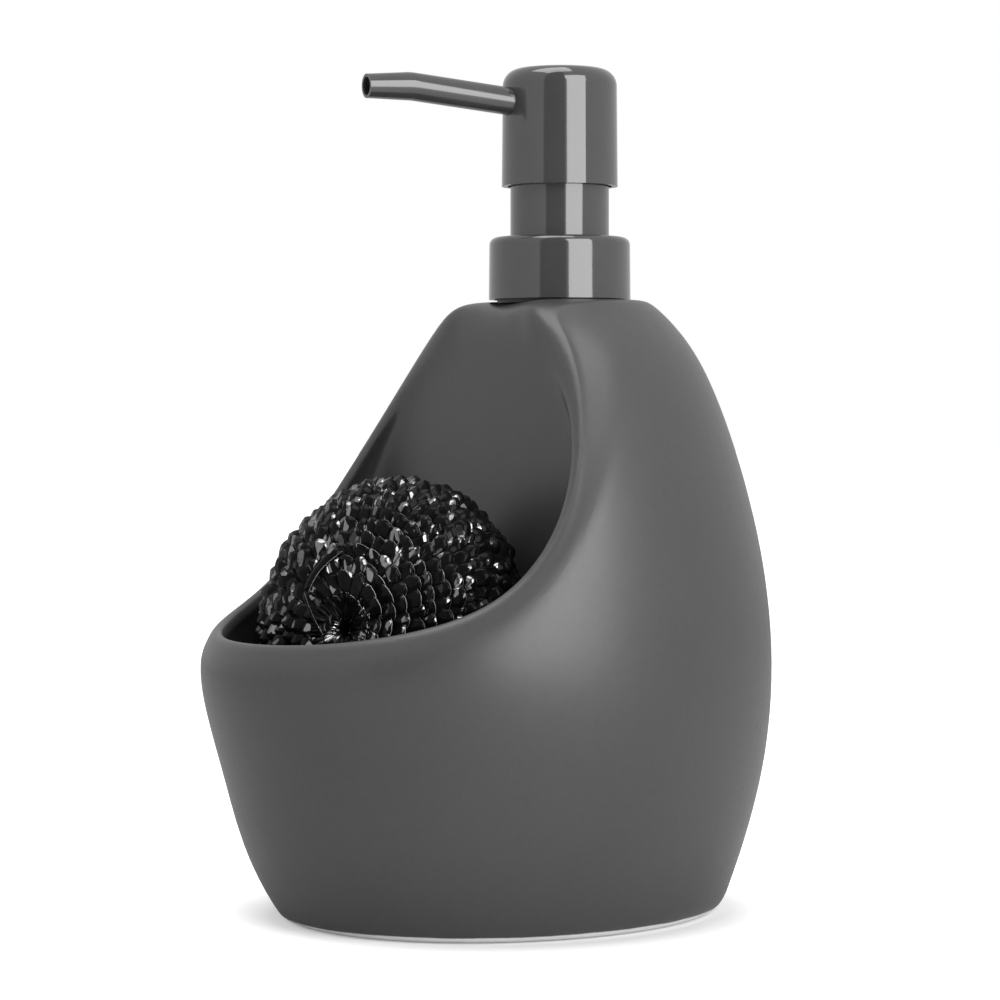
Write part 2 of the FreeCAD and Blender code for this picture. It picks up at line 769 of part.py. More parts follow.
outlet_step = S.stem_bore - S.outlet_bore
outlet_foot = outlet_seat - outlet_step
land_foot = outlet_foot - S.outlet_land
piston_stem = turned("piston_stem", [
    (S.stem_bore, stem_foot), (S.stem_radius, stem_foot), (S.stem_radius, stem_top),
    (S.stem_bore, stem_top), (S.stem_bore, outlet_seat), (S.outlet_bore, outlet_foot),
    (S.outlet_bore, land_foot), (S.stem_bore, land_foot - outlet_step)])
pieces.append(put(piston_stem, S.spout_heading))

outlet_ball = ball("outlet_ball", S.outlet_ball_radius,
                   outlet_foot - S.outlet_bore + S.outlet_ball_radius * BALL_RISE_SHARE + S.running_fit)
pieces.append(outlet_ball)


# The head and its spout

def spout_way(angle):
    """The direction of the spout where it climbs at an angle."""
    climb = math.radians(angle.value)
    return Vector(0, -math.cos(climb), math.sin(climb))


def spout_point(distance):
    """The point of the spout's straight run at a distance along it from the pump axis."""
    return Vector(0, 0, spout_height.value) + spout_way(S.spout_rise_angle) * distance.value


def along_spout(label, radius, first, last):
    """A cylinder on the spout's straight run between two distances from the pump axis."""
    thing = doc.addObject("Part::Cylinder", label)
    thing.setExpression("Radius", radius.text)
    thing.setExpression("Height", (last - first).text)
    thing.Placement = Placement(spout_point(first), Rotation(UP, spout_way(S.spout_rise_angle)))
    return thing


def spout_solid(radius, tip_radius):
    """A bent rod along the spout: straight run, bend and tapered tip."""
    first = spout_way(S.spout_rise_angle)
    last = spout_way(S.spout_tip_angle)
    turn = math.radians(S.spout_rise_angle.value - S.spout_tip_angle.value)
    bend = S.spout_bend_radius.value
    trim = bend * math.tan(turn / 2)
    start = spout_point(S.spout_start)
    corner = spout_point(S.spout_run)
    bend_start = corner - first * trim
    bend_end = corner + last * trim
    run = Part.makeCylinder(radius, (bend_start - start).Length, start, first)
    hub = bend_start + Vector(0, -first.z, first.y) * bend
    ring = Part.Face(Part.Wire(Part.Circle(bend_start, first, radius).toShape()))
    elbow = ring.revolve(hub, Vector(1, 0, 0), math.degrees(turn))
    tip_length = (S.spout_reach.value + bend_end.y) / -last.y
    tip = Part.makeCone(radius, tip_radius, tip_length, bend_end, last)
    return run.fuse([elbow, tip]).removeSplitter()


spout_hole = S.spout_radius + S.running_fit
core_radius = head_bore - S.seating_gap
channel_top = spout_height + S.channel_radius
core_blank = turned("core_blank", [
    (stem_hole, boss_foot), (S.boss_radius, boss_foot), (S.boss_radius, core_foot),
    (core_radius, core_foot), (core_radius, core_top), (NOTHING, core_top),
    (NOTHING, channel_top), (S.channel_radius, channel_top), (S.channel_radius, stem_top),
    (stem_hole, stem_top)])
head_core = cut("head_core", core_blank, [
    along_spout("core_channel", S.channel_radius, NOTHING, head_radius),
    along_spout("core_socket", spout_hole, S.spout_start, head_radius)])
pieces.append(put(head_core, S.spout_heading))

crown_edge = head_top - S.head_crown
head_top_radius = head_radius - S.head_taper
shell_blank = turned("shell_blank", [
    (head_bore, head_foot), (head_radius, head_foot), (head_top_radius, crown_edge),
    (NOTHING, head_top), (NOTHING, head_top - S.head_roof), (head_bore, head_top - S.head_roof)],
    crown=2)
rounded(shell_blank, S.head_rounding, [(head_top_radius, crown_edge)])
head_shell = cut("head_shell", shell_blank,
                 [along_spout("shell_hole", spout_hole, NOTHING, S.spout_reach)])
pieces.append(put(head_shell, S.spout_heading))

spout_outside = spout_solid(S.spout_radius.value, S.spout_tip_radius.value)
spout_inside = spout_solid(S.spout_bore.value, S.spout_tip_bore.value)
spout_tube = solid_feature("spout_tube", spout_outside.cut(spout_inside))
pieces.append(put(spout_tube, S.spout_heading))

# The scouring ball in the pouch

ball_blank = doc.addObject("Part::Ellipsoid", "ball_blank")
ball_blank.setExpression("Radius1", S.scrubber_half_thickness.text)
ball_blank.setExpression("Radius2", S.scrubber_half_width.text)
ball_blank.setExpression("Radius3", S.scrubber_half_height.text)
dimple = doc.addObject("Part::Cone", "dimple")
dimple.Radius1 = 0
dimple.setExpression("Radius2", S.dimple_radius.text)
dimple.setExpression("Height", S.dimple_depth.text)
dimple.setExpression("Placement.Base.z", (S.scrubber_half_thickness - S.dimple_depth * DIMPLE_SHARE).text)
scrubber = cut("scrubber", ball_blank, [dimple])
ball_height = S.pouch_floor + S.loose_gap + S.scrubber_half_height
scrubber.Placement = Placement(
    Vector(0, S.scrubber_centre.value, ball_height.value),
    Rotation(UP, S.scrubber_heading.value)
    * Rotation(Vector(1, 0, 0), QUARTER_TURN - S.scrubber_lift_angle.value)
    * Rotation(UP, -S.scrubber_lean.value))
pieces.append(scrubber)

# Check every piece, then write it

doc.recompute()
for thing in doc.Objects:
    if "Invalid" in thing.State or "Error" in thing.State:
        raise RuntimeError(f"{thing.Label} failed: {thing.State}")
for piece in pieces:
    if piece.Shape.isNull() or not piece.Shape.isValid() or len(piece.Shape.Solids) != 1:
        raise RuntimeError(f"{piece.Label} is not one valid solid")
os.makedirs("parts", exist_ok=True)
for piece in pieces:
    piece.Shape.exportStep(f"parts/{piece.Label}.step")
    print(piece.Label, round(piece.Shape.Volume), "mm3")
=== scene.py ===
import math

import bmesh
import bpy
from mathutils import Matrix, Vector


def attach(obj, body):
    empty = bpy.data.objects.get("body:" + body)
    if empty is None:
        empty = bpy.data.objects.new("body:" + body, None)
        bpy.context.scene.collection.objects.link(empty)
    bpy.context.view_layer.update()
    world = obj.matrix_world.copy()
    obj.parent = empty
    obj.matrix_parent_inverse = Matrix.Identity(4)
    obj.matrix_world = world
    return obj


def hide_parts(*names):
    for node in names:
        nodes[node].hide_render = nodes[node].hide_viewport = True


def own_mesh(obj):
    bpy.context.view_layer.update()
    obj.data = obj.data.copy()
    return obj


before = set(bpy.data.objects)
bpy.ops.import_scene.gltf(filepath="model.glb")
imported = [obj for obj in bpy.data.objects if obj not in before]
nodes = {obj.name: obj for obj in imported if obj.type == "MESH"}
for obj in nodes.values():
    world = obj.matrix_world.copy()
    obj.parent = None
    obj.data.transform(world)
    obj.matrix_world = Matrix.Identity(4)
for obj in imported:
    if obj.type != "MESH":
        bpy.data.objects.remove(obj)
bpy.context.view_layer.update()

# Soap pump caddy: matte stoneware, glossy lotion pump, and a scouring ball of knitted ribbon in the pouch

MM = 0.001
WHITE = (1, 1, 1, 1)


# Helpers

def linked(name, data):
    """A new object in the scene."""
    thing = bpy.data.objects.new(name, data)
    bpy.context.scene.collection.objects.link(thing)
    return thing


def add(tree, kind, inputs=None, **settings):
    """One node with its settings made and its inputs joined or set."""
    node = tree.nodes.new(kind)
    for key, value in settings.items():
        setattr(node, key, value)
    for key, value in (inputs or {}).items():
        feed(tree, node.inputs[key], value)
    return node


def feed(tree, socket, value):
    """Joins a socket to another one, or sets its value."""
    if isinstance(value, bpy.types.NodeSocket):
        tree.links.new(value, socket)
    else:
        socket.default_value = value


def sums(tree, operation, *values):
    """The result of one sum on numbers or sockets."""
    return add(tree, "ShaderNodeMath", dict(enumerate(values)), operation=operation).outputs[0]


def parts_of(tree, vector):
    """The three parts of a vector, by letter."""
    return add(tree, "ShaderNodeSeparateXYZ", {"Vector": vector}).outputs


def stretched(tree, place, scale):
    """Coordinates scaled along each axis."""
    return add(tree, "ShaderNodeMapping", {"Vector": place, "Scale": scale}).outputs[0]


# Finish helpers

# The span that most of a noise lies in
NOISE_SPAN = {"start": 0.3, "end": 0.7}


def finish(name, roughness, specular=0.5, metallic=0.0):
    """A new material, its tree, its shader and the object's own coordinates."""
    material = bpy.data.materials.new(name)
    material.use_nodes = True
    tree = material.node_tree
    shader = tree.nodes["Principled BSDF"]
    shader.inputs["Roughness"].default_value = roughness
    shader.inputs["Specular IOR Level"].default_value = specular
    shader.inputs["Metallic"].default_value = metallic
    place = add(tree, "ShaderNodeTexCoord").outputs["Object"]
    return material, tree, shader, place


def grain(tree, place, size, detail=2.0, roughness=0.5):
    """Noise from 0 to 1 with features of about the given size in metres."""
    return add(tree, "ShaderNodeTexNoise", {"Vector": place, "Scale": 1 / size, "Detail": detail,
                                            "Roughness": roughness}).outputs["Fac"]


def spread(tree, value, low, high, start=0.0, end=1.0):
    """A value brought from the range start to end to the range low to high."""
    return add(tree, "ShaderNodeMapRange", {"Value": value, "From Min": start, "From Max": end,
                                            "To Min": low, "To Max": high}).outputs["Result"]


def tones(tree, share, first, second):
    """A mix of two colours."""
    mix = add(tree, "ShaderNodeMix", {"Factor": share}, data_type="RGBA")
    colours = [socket for socket in mix.inputs if socket.type == "RGBA"]
    feed(tree, colours[0], first)
    feed(tree, colours[1], second)
    return next(socket for socket in mix.outputs if socket.type == "RGBA")


def grey(level, warm=0.0):
    """A grey, a little towards red where it is warm."""
    return (level * (1 + warm), level, level * (1 - warm), 1)


def dents(tree, shader, height, depth, strength=1.0):
    """Bump of a depth in metres from a height that runs from 0 to 1."""
    bump = add(tree, "ShaderNodeBump", {"Height": height, "Distance": depth, "Strength": strength})
    feed(tree, shader.inputs["Normal"], bump.outputs["Normal"])


# Finishes

def stoneware_glaze():
    """Matte dark glaze, finely mottled, with an unglazed line round the foot."""
    material, tree, shader, place = finish("stoneware_glaze", roughness=0.4, specular=0.6)
    cloud = grain(tree, place, size=30 * MM, detail=3)
    speck = grain(tree, place, size=0.5 * MM, detail=2)
    mottle = grain(tree, place, size=1.4 * MM, detail=4, roughness=0.7)
    cloud_share = 0.35
    patchy = sums(tree, "MULTIPLY_ADD", spread(tree, cloud, low=0, high=1, **NOISE_SPAN), cloud_share,
                  spread(tree, mottle, low=0, high=1 - cloud_share, **NOISE_SPAN))
    glaze = tones(tree, patchy, grey(0.0345), grey(0.0445))
    waver = spread(tree, grain(tree, place, size=6 * MM, detail=2), low=-0.2 * MM, high=0.2 * MM)
    height = sums(tree, "ADD", parts_of(tree, place)["Z"], waver)
    bare = spread(tree, height, low=1, high=0, start=1.3 * MM, end=1.6 * MM)
    feed(tree, shader.inputs["Base Color"], tones(tree, bare, glaze, grey(0.78, warm=0.01)))
    rough = spread(tree, speck, low=0.35, high=0.42, **NOISE_SPAN)
    bare_roughness = 0.3
    feed(tree, shader.inputs["Roughness"], sums(tree, "MULTIPLY_ADD", bare, bare_roughness, rough))
    dents(tree, shader, speck, depth=0.02 * MM, strength=0.4)
    return material


def pump_gloss():
    """Hard glossy plastic with a slight moulded waver."""
    material, tree, shader, place = finish("pump_gloss", roughness=0.1, specular=0.9)
    flow = grain(tree, place, size=9 * MM, detail=2)
    colour = tones(tree, spread(tree, flow, low=0, high=1, **NOISE_SPAN), grey(0.036), grey(0.04))
    feed(tree, shader.inputs["Base Color"], colour)
    polish = grain(tree, place, size=0.4 * MM, detail=2)
    feed(tree, shader.inputs["Roughness"], spread(tree, polish, low=0.06, high=0.11))
    dents(tree, shader, flow, depth=0.03 * MM, strength=0.3)
    return material


def natural_plastic():
    """Uncoloured moulded plastic, slightly cloudy."""
    material, tree, shader, place = finish("natural_plastic", roughness=0.35)
    cloud = grain(tree, place, size=4 * MM, detail=3)
    colour = tones(tree, spread(tree, cloud, low=0, high=1, **NOISE_SPAN),
                   grey(0.62, warm=0.015), grey(0.7, warm=0.01))
    feed(tree, shader.inputs["Base Color"], colour)
    feed(tree, shader.inputs["Roughness"],
         spread(tree, grain(tree, place, size=0.6 * MM), low=0.3, high=0.42))
    dents(tree, shader, cloud, depth=0.03 * MM, strength=0.3)
    return material


def plain_plastic():
    """Dark moulded plastic without polish."""
    material, tree, shader, place = finish("plain_plastic", roughness=0.45)
    cloud = grain(tree, place, size=3 * MM, detail=3)
    feed(tree, shader.inputs["Base Color"], tones(tree, cloud, grey(0.03), grey(0.04)))
    feed(tree, shader.inputs["Roughness"],
         spread(tree, grain(tree, place, size=0.5 * MM), low=0.4, high=0.55))
    return material


def soft_seal():
    """Soft pale rubber with a powdery surface."""
    material, tree, shader, place = finish("soft_seal", roughness=0.7, specular=0.3)
    powder = grain(tree, place, size=0.35 * MM, detail=3)
    feed(tree, shader.inputs["Base Color"], tones(tree, powder, grey(0.42), grey(0.54)))
    feed(tree, shader.inputs["Roughness"], spread(tree, powder, low=0.6, high=0.8))
    dents(tree, shader, powder, depth=0.02 * MM, strength=0.5)
    return material


def drawn_steel():
    """Bright steel with fine drawing lines."""
    material, tree, shader, place = finish("drawn_steel", roughness=0.25, metallic=1.0)
    lines = grain(tree, stretched(tree, place, (1, 1, 8)), size=0.4 * MM, detail=3)
    feed(tree, shader.inputs["Base Color"], tones(tree, lines, grey(0.5), grey(0.68)))
    feed(tree, shader.inputs["Roughness"], spread(tree, lines, low=0.16, high=0.34))
    dents(tree, shader, lines, depth=0.01 * MM, strength=0.4)
    return material


def ribbon_black():
    """Thin black ribbon, glossy in small slivers and faintly crinkled."""
    material, tree, shader, place = finish("ribbon_black", roughness=0.12)
    shader.inputs["IOR"].default_value = 2.1
    crinkle = grain(tree, place, size=3 * MM, detail=1)
    sliver = 1.3 * MM
    patches = add(tree, "ShaderNodeTexVoronoi", {"Vector": stretched(tree, place, (1, 1, 0.5)),
                                                 "Scale": 1 / sliver}).outputs["Color"]
    gloss = parts_of(tree, patches)["X"]
    feed(tree, shader.inputs["Base Color"], tones(tree, crinkle, grey(0.002), grey(0.008)))
    feed(tree, shader.inputs["Specular IOR Level"],
         spread(tree, gloss, low=0.02, high=1.0, start=0.8, end=0.92))
    feed(tree, shader.inputs["Roughness"], spread(tree, crinkle, low=0.06, high=0.16))
    dents(tree, shader, crinkle, depth=0.6 * MM, strength=0.6)
    return material


def ribbon_edge_highlight():
    """The cut edge of the ribbon, painted paler as a painted highlight where the edges catch light."""
    material, tree, shader, place = finish("ribbon_edge_highlight", roughness=0.4)
    edge_highlight_noise = grain(tree, place, size=0.6 * MM, detail=2)
    # The pale grey here is a painted highlight on the cut edges, not the ribbon's own colour.
    feed(tree, shader.inputs["Base Color"], tones(tree, edge_highlight_noise, grey(0.16), grey(0.42)))
    feed(tree, shader.inputs["Roughness"], spread(tree, edge_highlight_noise, low=0.3, high=0.5))
    return material


GLAZE = stoneware_glaze()
GLOSS = pump_gloss()
NATURAL = natural_plastic()
PLAIN = plain_plastic()
SEAL = soft_seal()
STEEL = drawn_steel()
RIBBON = ribbon_black()
# Paler material for the ribbon's cut edges: a painted highlight.
EDGE_HIGHLIGHT = ribbon_edge_highlight()
FINISHES = {
    GLAZE: ("ceramic_body",),
    GLOSS: ("collar_shell", "guide_sleeve", "head_shell", "spout_tube"),
    PLAIN: ("neck_plug", "closure_cap", "head_core"),
    NATURAL: ("pump_housing", "chaplet", "dip_tube", "ball_cage", "valve_rod", "piston_stem"),
    SEAL: ("neck_gasket", "stem_wiper", "piston_seal"),
    STEEL: ("inlet_ball", "outlet_ball"),
}
for material, names in FINISHES.items():
    for name in names:
        nodes[name].data.materials.clear()
        nodes[name].data.materials.append(material)


# Return spring

MERGE_REACH = 0.001 * MM


def return_spring():
    """A merged copy of the spring's CAD mesh."""
    shell = bmesh.new()
    shell.from_mesh(nodes["return_spring"].data)
    shell.transform(nodes["return_spring"].matrix_world)
    bmesh.ops.remove_doubles(shell, verts=shell.verts, dist=MERGE_REACH)
    mesh = bpy.data.meshes.new("coil_spring")
    shell.to_mesh(mesh)
    shell.free()
    mesh.polygons.foreach_set("use_smooth", [True] * len(mesh.polygons))
    mesh.materials.clear()
    mesh.materials.append(STEEL)
    thing = linked("coil_spring", mesh)
    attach(thing, "pump")
    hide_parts("return_spring")
    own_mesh(thing)


return_spring()


# Scouring ball: loops of knitted ribbon in rows that wind away from a gathered hole

# Half width, half height and half thickness, as in the CAD solid, with its place and turns
BALL = Vector((32, 35, 21.5)) * MM
BALL_CENTRE = Vector((0, -31.2, 65.3)) * MM
BALL_HEADING = math.radians(26.5)
BALL_TILT = math.radians(83.5)
BALL_LEAN = math.radians(-18)
BALL_PLACE = (Matrix.Translation(BALL_CENTRE) @ Matrix.Rotation(BALL_HEADING, 4, "Z")
              @ Matrix.Rotation(BALL_TILT, 4, "X") @ Matrix.Rotation(BALL_LEAN, 4, "Z"))
BALL_TURN = BALL_PLACE.to_3x3()

ROW_PITCH = 6.4 * MM
ROW_SINK = 0.8 * MM
ROW_START = math.radians(12)
ROW_END = math.radians(172)
ROW_STEP_DEGREES = 5
HOLE_RADIUS = 4.4 * MM
HOLE_HEIGHT = 19.2 * MM
HOLE_SLOPE = math.radians(14)
RIBBON_THICKNESS = 0.2 * MM

# Shape of one loop: its grid, its half width as a share of the width at the root and what the tip adds,
# how far the tip bows out, and how much of the rise is a sharp fold and how much of it comes along the loop
STRIP_GRID = {"Size X": 2.0, "Size Y": 1.0, "Vertices X": 7, "Vertices Y": 5}
ROOT_HALF = 0.3
TIP_GAIN = 0.2
TIP_BOW = 0.2
SHARP_SHARE = 0.7
RISE_GAIN = 0.7
LOOP_STRETCH = ((0.85, 0.85, 0.75), (1.2, 1.15, 1.2))
ROW_LOOPS = {"Pitch": 3.0 * MM, "Width": 4.1 * MM, "Length": 5.0 * MM, "Height": 1.0 * MM,
             "Drop": 1.7 * MM, "Turn": 0.2, "Seed": 4, "Material": RIBBON}
HOLE_PLEATS = {"Pitch": 0.52 * MM, "Width": 1.1 * MM, "Length": 4.8 * MM, "Height": 0.8 * MM,
               "Drop": 0.6 * MM, "Turn": 0.22, "Seed": 9, "Material": RIBBON}

CORE_TURNS = 72
CORE_BANDS = 40
CORE_SINK = 2.4 * MM
CORE_CRUMPLE = 0.4 * MM
CORE_FOLDS_ROUND = 9
CORE_FOLDS_ALONG = 13
CORE_FOLD_WANDER = 2
CORE_WANDER_WAVES = 5
CORE_HOLE_DEPTH = 10 * MM
CORE_HOLE_SLOPE = 8 * MM
CORE_HOLE_REACH = 5 * MM
STRAY_STEPS = 8
STRAY_WAYS = (-0.5, 0, 0.5)
STRAY_END_LIFT = 0.3
STRAY_TWIST = 0.2
STRAY_TWIST_TURN = 4
STRAY_FOLD = 0.12


def outward_at(spot):
    """The way out of the ball at a place on it, in the ball's own frame."""
    return Vector((spot.x / BALL.x ** 2, spot.y / BALL.y ** 2, spot.z / BALL.z ** 2)).normalized()


def on_ball(polar, turn, sink):
    """A place on the ball, the way out of it and the way from the hole, in the ball's own frame."""
    round_way = Vector((math.cos(turn), math.sin(turn), 0))
    shell = Vector((BALL.x * math.sin(polar) * round_way.x, BALL.y * math.sin(polar) * round_way.y,
                    BALL.z * math.cos(polar)))
    outward = outward_at(shell)
    away = Vector((BALL.x * math.cos(polar) * round_way.x, BALL.y * math.cos(polar) * round_way.y,
                   -BALL.z * math.sin(polar))).normalized()
    return shell - outward * sink, outward, away


def winding(turn):
    """One ribbon wound from near the hole to the back of the ball."""
    polar = ROW_START
    step = math.radians(ROW_STEP_DEGREES)
    row = []
    while polar < ROW_END:
        row.append(on_ball(polar, turn, ROW_SINK))
        stride = math.hypot((BALL.x + BALL.y) / 2 * math.cos(polar), BALL.z * math.sin(polar))
        polar += ROW_PITCH * step / (2 * math.pi) / stride
        turn += step
    return row


def pleat_ring():
    """Places round the gathered hole, on the slope that leads into it."""
    row = []
    up = Vector((0, 0, 1))
    for degrees in range(0, 360 + ROW_STEP_DEGREES, ROW_STEP_DEGREES):
        turn = math.radians(degrees)
        round_way = Vector((math.cos(turn), math.sin(turn), 0))
        row.append((round_way * HOLE_RADIUS + up * HOLE_HEIGHT,
                    up * math.cos(HOLE_SLOPE) - round_way * math.sin(HOLE_SLOPE),
                    round_way * math.cos(HOLE_SLOPE) + up * math.sin(HOLE_SLOPE)))
    return row


def guide(name, rows):
    """Wires that the loops are set along, each point with its way out and its way from the hole."""
    points = [place for row in rows for place in row]
    edges = []
    first = 0
    for row in rows:
        edges += [(first + number, first + number + 1) for number in range(len(row) - 1)]
        first += len(row)
    mesh = bpy.data.meshes.new(name)
    mesh.from_pydata([BALL_PLACE @ place[0] for place in points], edges, [])
    for number, key in ((1, "outward"), (2, "away")):
        ways = mesh.attributes.new(key, "FLOAT_VECTOR", "POINT")
        ways.data.foreach_set("vector", [part for place in points for part in BALL_TURN @ place[number]])
    return linked(name, mesh)


def loop_inputs(tree):
    """The named sizes of a loop tree, as sockets."""
    face = tree.interface
    face.new_socket("Geometry", in_out="INPUT", socket_type="NodeSocketGeometry")
    for key in ("Pitch", "Width", "Length", "Height", "Drop", "Turn"):
        face.new_socket(key, in_out="INPUT", socket_type="NodeSocketFloat")
    face.new_socket("Seed", in_out="INPUT", socket_type="NodeSocketInt")
    face.new_socket("Material", in_out="INPUT", socket_type="NodeSocketMaterial")
    face.new_socket("Geometry", in_out="OUTPUT", socket_type="NodeSocketGeometry")
    return add(tree, "NodeGroupInput").outputs


def loop_strip(tree, given):
    """One strip of ribbon, folded along its middle, wider and higher towards its scalloped end."""
    flat = add(tree, "GeometryNodeMeshGrid", STRIP_GRID).outputs["Mesh"]
    spot = parts_of(tree, add(tree, "GeometryNodeInputPosition").outputs[0])
    along = sums(tree, "ADD", spot["Y"], 0.5)
    tent = sums(tree, "SUBTRACT", 1.0, sums(tree, "ABSOLUTE", spot["X"]))
    arch = sums(tree, "SUBTRACT", 1.0, sums(tree, "MULTIPLY", spot["X"], spot["X"]))
    half = sums(tree, "MULTIPLY", given["Width"], sums(tree, "MULTIPLY_ADD", along, TIP_GAIN, ROOT_HALF))
    across = sums(tree, "MULTIPLY", spot["X"], half)
    scallop = sums(tree, "MULTIPLY", sums(tree, "MULTIPLY", arch, along), TIP_BOW)
    run = sums(tree, "MULTIPLY", given["Length"], sums(tree, "ADD", spot["Y"], scallop))
    fold = sums(tree, "MULTIPLY_ADD", tent, SHARP_SHARE, sums(tree, "MULTIPLY", arch, 1 - SHARP_SHARE))
    swell = sums(tree, "MULTIPLY", fold, sums(tree, "MULTIPLY_ADD", along, RISE_GAIN, 1 - RISE_GAIN))
    sunk = sums(tree, "MULTIPLY", given["Drop"], sums(tree, "SUBTRACT", along, 1.0))
    rise = sums(tree, "MULTIPLY_ADD", given["Height"], swell, sunk)
    bent = add(tree, "ShaderNodeCombineXYZ", {"X": across, "Y": run, "Z": rise}).outputs[0]
    return add(tree, "GeometryNodeSetPosition", {"Geometry": flat, "Position": bent}).outputs[0]


def chance(tree, given, low, high):
    """A random vector for each loop."""
    return add(tree, "FunctionNodeRandomValue", {0: low, 1: high, "Seed": given["Seed"]},
               data_type="FLOAT_VECTOR").outputs[0]


def loop_tree():
    """Geometry nodes that set a bent strip of ribbon at even steps along the wires."""
    tree = bpy.data.node_groups.new("ribbon_loops", "GeometryNodeTree")
    given = loop_inputs(tree)
    wires = add(tree, "GeometryNodeMeshToCurve", {"Mesh": given["Geometry"]}).outputs["Curve"]
    steps = add(tree, "GeometryNodeResampleCurve", {"Curve": wires, "Length": given["Pitch"]}, mode="LENGTH")
    strip = loop_strip(tree, given)
    outward, away = [add(tree, "GeometryNodeInputNamedAttribute", {"Name": key},
                         data_type="FLOAT_VECTOR").outputs[0] for key in ("outward", "away")]
    facing = add(tree, "FunctionNodeAxesToRotation", {"Primary Axis": outward, "Secondary Axis": away},
                 primary_axis="Z", secondary_axis="Y").outputs[0]
    sway = add(tree, "ShaderNodeVectorMath", {0: chance(tree, given, (-1, -1, -1), (1, 1, 1)),
                                              "Scale": given["Turn"]}, operation="SCALE").outputs[0]
    lean = add(tree, "FunctionNodeEulerToRotation", {"Euler": sway}).outputs[0]
    turned = add(tree, "FunctionNodeRotateRotation", {"Rotation": facing, "Rotate By": lean},
                 rotation_space="LOCAL").outputs[0]
    stretch = chance(tree, given, *LOOP_STRETCH)
    loops = add(tree, "GeometryNodeInstanceOnPoints",
                {"Points": steps.outputs[0], "Instance": strip, "Rotation": turned, "Scale": stretch})
    real = add(tree, "GeometryNodeRealizeInstances", {"Geometry": loops.outputs[0]})
    smooth = add(tree, "GeometryNodeSetShadeSmooth", {"Geometry": real.outputs[0]})
    painted = add(tree, "GeometryNodeSetMaterial",
                  {"Geometry": smooth.outputs[0], "Material": given["Material"]})
    add(tree, "NodeGroupOutput", {"Geometry": painted.outputs[0]})
    return tree


def knit(thing, tree, settings):
    """Runs the tree on the wires and keeps what it makes as a plain mesh."""
    maker = thing.modifiers.new("loops", "NODES")
    maker.node_group = tree
    for socket in tree.interface.items_tree:
        if socket.in_out == "INPUT" and socket.name in settings:
            maker[socket.identifier] = settings[socket.name]
    bpy.context.view_layer.update()
    made = thing.evaluated_get(bpy.context.evaluated_depsgraph_get())
    mesh = bpy.data.meshes.new_from_object(made)
    thing.modifiers.remove(maker)
    thing.data = mesh
    ribbon(thing)


def ribbon(thing):
    """Gives a strip its thickness, with cut edges painted paler as a painted highlight, and the ball's
    motion.
    """
    # The rim gets the material with the painted edge highlight.
    thing.data.materials.append(EDGE_HIGHLIGHT)
    solid = thing.modifiers.new("thickness", "SOLIDIFY")
    solid.thickness = RIBBON_THICKNESS
    solid.offset = 0
    solid.material_offset_rim = 1
    on_the_ball(thing)


def on_the_ball(thing):
    """Gives a piece of ribbon the ball's motion."""
    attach(thing, "ball")


def ribbon_sheet(name, points, faces):
    """A smooth sheet of black ribbon, placed from the ball's own frame."""
    mesh = bpy.data.meshes.new(name)
    mesh.from_pydata([BALL_PLACE @ point for point in points], [], faces)
    mesh.polygons.foreach_set("use_smooth", [True] * len(mesh.polygons))
    mesh.materials.append(RIBBON)
    return linked(name, mesh)


def ball_core():
    """The dark crumpled middle of the ball, with the hole drawn in."""
    points = [Vector((0, 0, BALL.z - CORE_HOLE_DEPTH))]
    for band in range(1, CORE_BANDS):
        polar = math.pi * band / CORE_BANDS
        for number in range(CORE_TURNS):
            turn = 2 * math.pi * number / CORE_TURNS
            wander = CORE_FOLD_WANDER * math.sin(CORE_WANDER_WAVES * polar)
            crumple = math.sin(CORE_FOLDS_ROUND * turn + wander) * math.sin(CORE_FOLDS_ALONG * polar)
            spot = on_ball(polar, turn, CORE_SINK + crumple * CORE_CRUMPLE)[0]
            if polar < math.pi / 2:
                spot.z -= CORE_HOLE_SLOPE * max(0, 1 - math.hypot(spot.x, spot.y) / CORE_HOLE_REACH)
            points.append(spot)
    points.append(Vector((0, 0, CORE_SINK - BALL.z)))
    faces = []
    last = len(points) - 1
    foot = last - CORE_TURNS
    for number in range(CORE_TURNS):
        beside = (number + 1) % CORE_TURNS
        faces.append((0, 1 + number, 1 + beside))
        for upper in range(1, foot, CORE_TURNS):
            lower = upper + CORE_TURNS
            faces.append((upper + number, lower + number, lower + beside, upper + beside))
        faces.append((foot + number, last, foot + beside))
    on_the_ball(ribbon_sheet("ribbon_core", points, faces))


def stray(name, start, end, width, lift):
    """A loose end of ribbon that lies over the rows in a low arch, slightly twisted and folded."""
    start, end = Vector(start) * MM, Vector(end) * MM
    outward = outward_at((start + end) / 2)
    side = (end - start).cross(outward).normalized()
    points = []
    for number in range(STRAY_STEPS + 1):
        share = number / STRAY_STEPS
        spot = start.lerp(end, share) + outward * lift * (STRAY_END_LIFT + math.sin(math.pi * share))
        tilt = outward * math.sin(STRAY_TWIST_TURN * share) * width * STRAY_TWIST
        for way in STRAY_WAYS:
            fold = outward * width * STRAY_FOLD * (way == 0)
            points.append(spot + side * width * way + tilt * way + fold)
    wide = len(STRAY_WAYS)
    faces = [(corner, corner + 1, corner + wide + 1, corner + wide)
             for row in range(STRAY_STEPS) for corner in range(wide * row, wide * row + wide - 1)]
    ribbon(ribbon_sheet(name, points, faces))


